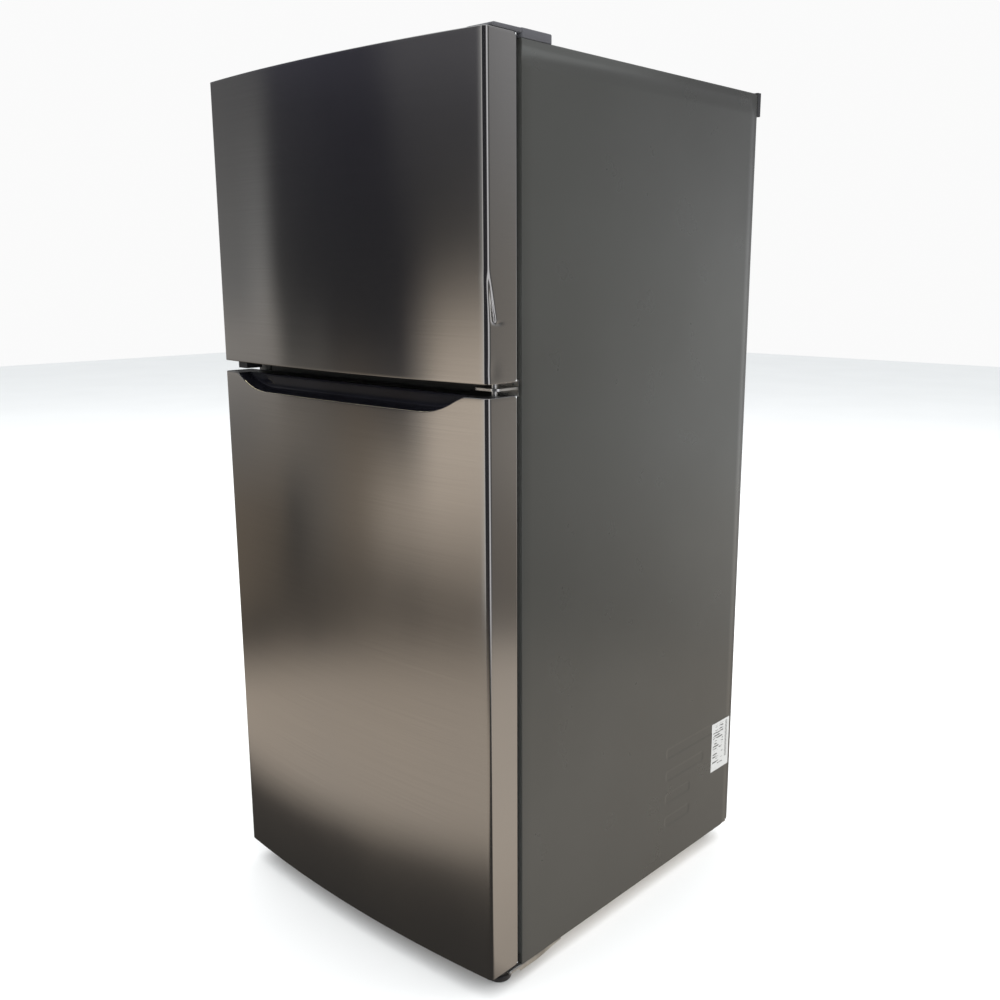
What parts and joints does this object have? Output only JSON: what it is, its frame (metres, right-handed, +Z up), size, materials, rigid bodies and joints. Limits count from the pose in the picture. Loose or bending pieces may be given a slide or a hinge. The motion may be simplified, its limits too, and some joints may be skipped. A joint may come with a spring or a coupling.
{
  "type": "top freezer refrigerator",
  "caption": "Refrigerator with the freezer on top, bowed brushed-steel doors, a black recessed pocket handle and a dark painted cabinet.",
  "frame": {"origin": "on the floor, under the middle of the whole appliance", "axes": "+Z up, the doors face -Y, and their hinges are on the +X side"},
  "size_m": [0.755, 0.836, 1.679],
  "materials": {
    "stainless": "brushed",
    "cabinet_paint": "satin",
    "black_plastic": "satin",
    "gloss_black": "gloss",
    "dark_grey_plastic": "matte",
    "zinc_steel": "satin",
    "white_plastic": "satin",
    "clear_plastic": "gloss",
    "shelf_glass": "gloss",
    "gasket_rubber": "matte",
    "foam": "matte",
    "black_paint": "satin",
    "copper": "satin",
    "fin_aluminium": "satin",
    "rear_board": "matte",
    "label_paper": "satin",
    "mount_rubber": "matte",
    "roller_nylon": "satin"
  },
  "bodies": {
    "cabinet": {"cabinet_shell": "cabinet_paint", "side_label": "label_paper", "bottom_pan": "zinc_steel", "cabinet_insulation": "foam", "freezer_liner": "white_plastic", "refrigerator_liner": "white_plastic", "mullion_trim": "cabinet_paint", "rear_panel": "rear_board", "rear_top_rail": "dark_grey_plastic", "machine_cover": "rear_board", "top_hinge": "zinc_steel", "middle_hinge": "zinc_steel", "lower_hinge": "zinc_steel", "top_hinge_cover": "dark_grey_plastic", "hinge_screws": "zinc_steel", "base_rails": "zinc_steel", "glass_shelves": "shelf_glass", "shelf_nosings": "white_plastic", "evaporator_cover": "white_plastic", "evaporator": "fin_aluminium", "evaporator_fan_motor": "black_plastic", "air_duct": "white_plastic", "control_housing": "white_plastic", "lamp_lens": "clear_plastic", "light_switch_housing": "white_plastic", "compressor_base": "zinc_steel", "compressor": "black_paint", "compressor_mounts": "mount_rubber", "drain_pan": "black_plastic", "condenser_coil": "copper", "condenser_fan_motor": "black_plastic", "power_inlet": "black_plastic"},
    "freezer_door": {"freezer_door_skin": "stainless", "freezer_door_top_cap": "black_plastic", "freezer_door_bottom_cap": "black_plastic", "freezer_door_insulation": "foam", "freezer_door_liner": "white_plastic", "freezer_door_gasket": "gasket_rubber", "freezer_door_bins": "clear_plastic", "freezer_door_bushings": "roller_nylon", "freezer_door_stop": "black_plastic"},
    "refrigerator_door": {"refrigerator_door_skin": "stainless", "refrigerator_door_top_cap": "black_plastic", "refrigerator_door_bottom_cap": "black_plastic", "refrigerator_door_insulation": "foam", "refrigerator_door_liner": "white_plastic", "refrigerator_door_gasket": "gasket_rubber", "refrigerator_door_bins": "clear_plastic", "refrigerator_door_bushings": "roller_nylon", "pocket_handle": "gloss_black"},
    "crisper_left": {"crisper_left": "clear_plastic"},
    "crisper_right": {"crisper_right": "clear_plastic"},
    "evaporator_fan": {"evaporator_fan_blades": "white_plastic"},
    "condenser_fan": {"condenser_fan_blades": "black_plastic"},
    "temperature_dial": {"temperature_dial": "white_plastic"},
    "light_switch_plunger": {"light_switch_plunger": "white_plastic"},
    "levelling_foot_left": {"levelling_foot_left": "black_plastic"},
    "levelling_foot_right": {"levelling_foot_right": "black_plastic"},
    "rear_roller_left": {"rear_roller_left": "roller_nylon"},
    "rear_roller_right": {"rear_roller_right": "roller_nylon"}
  },
  "joints": [
    {"name": "freezer_door_hinge", "type": "hinge", "parent": "cabinet", "child": "freezer_door", "pos_m": [0.357, -0.359, 1.4], "axis": [0, 0, 1], "range_deg": [0, 120]},
    {"name": "refrigerator_door_hinge", "type": "hinge", "parent": "cabinet", "child": "refrigerator_door", "pos_m": [0.357, -0.359, 0.58], "axis": [0, 0, 1], "range_deg": [0, 120]},
    {"name": "crisper_left_slide", "type": "slide", "parent": "cabinet", "child": "crisper_left", "axis": [0, -1, 0], "range_m": [0, 0.26]},
    {"name": "crisper_right_slide", "type": "slide", "parent": "cabinet", "child": "crisper_right", "axis": [0, -1, 0], "range_m": [0, 0.26]},
    {"name": "evaporator_fan_spin", "type": "hinge", "parent": "cabinet", "child": "evaporator_fan", "pos_m": [0, 0.273, 1.474], "axis": [0, 1, 0], "continuous": true},
    {"name": "condenser_fan_spin", "type": "hinge", "parent": "cabinet", "child": "condenser_fan", "pos_m": [-0.019, 0.286, 0.168], "axis": [1, 0, 0], "continuous": true},
    {"name": "temperature_dial_turn", "type": "hinge", "parent": "cabinet", "child": "temperature_dial", "pos_m": [0.06, -0.164, 1.065], "axis": [0, -1, 0], "range_deg": [0, 270]},
    {"name": "light_switch_press", "type": "slide", "parent": "cabinet", "child": "light_switch_plunger", "axis": [0, 1, 0], "range_m": [0, 0.004], "stiffness_N_per_m": 300},
    {"name": "levelling_foot_left_turn", "type": "hinge", "parent": "cabinet", "child": "levelling_foot_left", "pos_m": [-0.331, -0.328, 0.02], "axis": [0, 0, 1], "continuous": true},
    {"name": "rear_roller_left_spin", "type": "hinge", "parent": "cabinet", "child": "rear_roller_left", "pos_m": [-0.3255, 0.362, 0.018], "axis": [1, 0, 0], "continuous": true},
    {"name": "levelling_foot_right_turn", "type": "hinge", "parent": "cabinet", "child": "levelling_foot_right", "pos_m": [0.331, -0.328, 0.02], "axis": [0, 0, 1], "continuous": true},
    {"name": "rear_roller_right_spin", "type": "hinge", "parent": "cabinet", "child": "rear_roller_right", "pos_m": [0.3255, 0.362, 0.018], "axis": [1, 0, 0], "continuous": true}
  ],
  "couplings": [
    {"joint": "crisper_left_slide", "follows": "refrigerator_door_hinge", "m_per_rad": 0.124},
    {"joint": "crisper_right_slide", "follows": "refrigerator_door_hinge", "m_per_rad": 0.124}
  ]
}
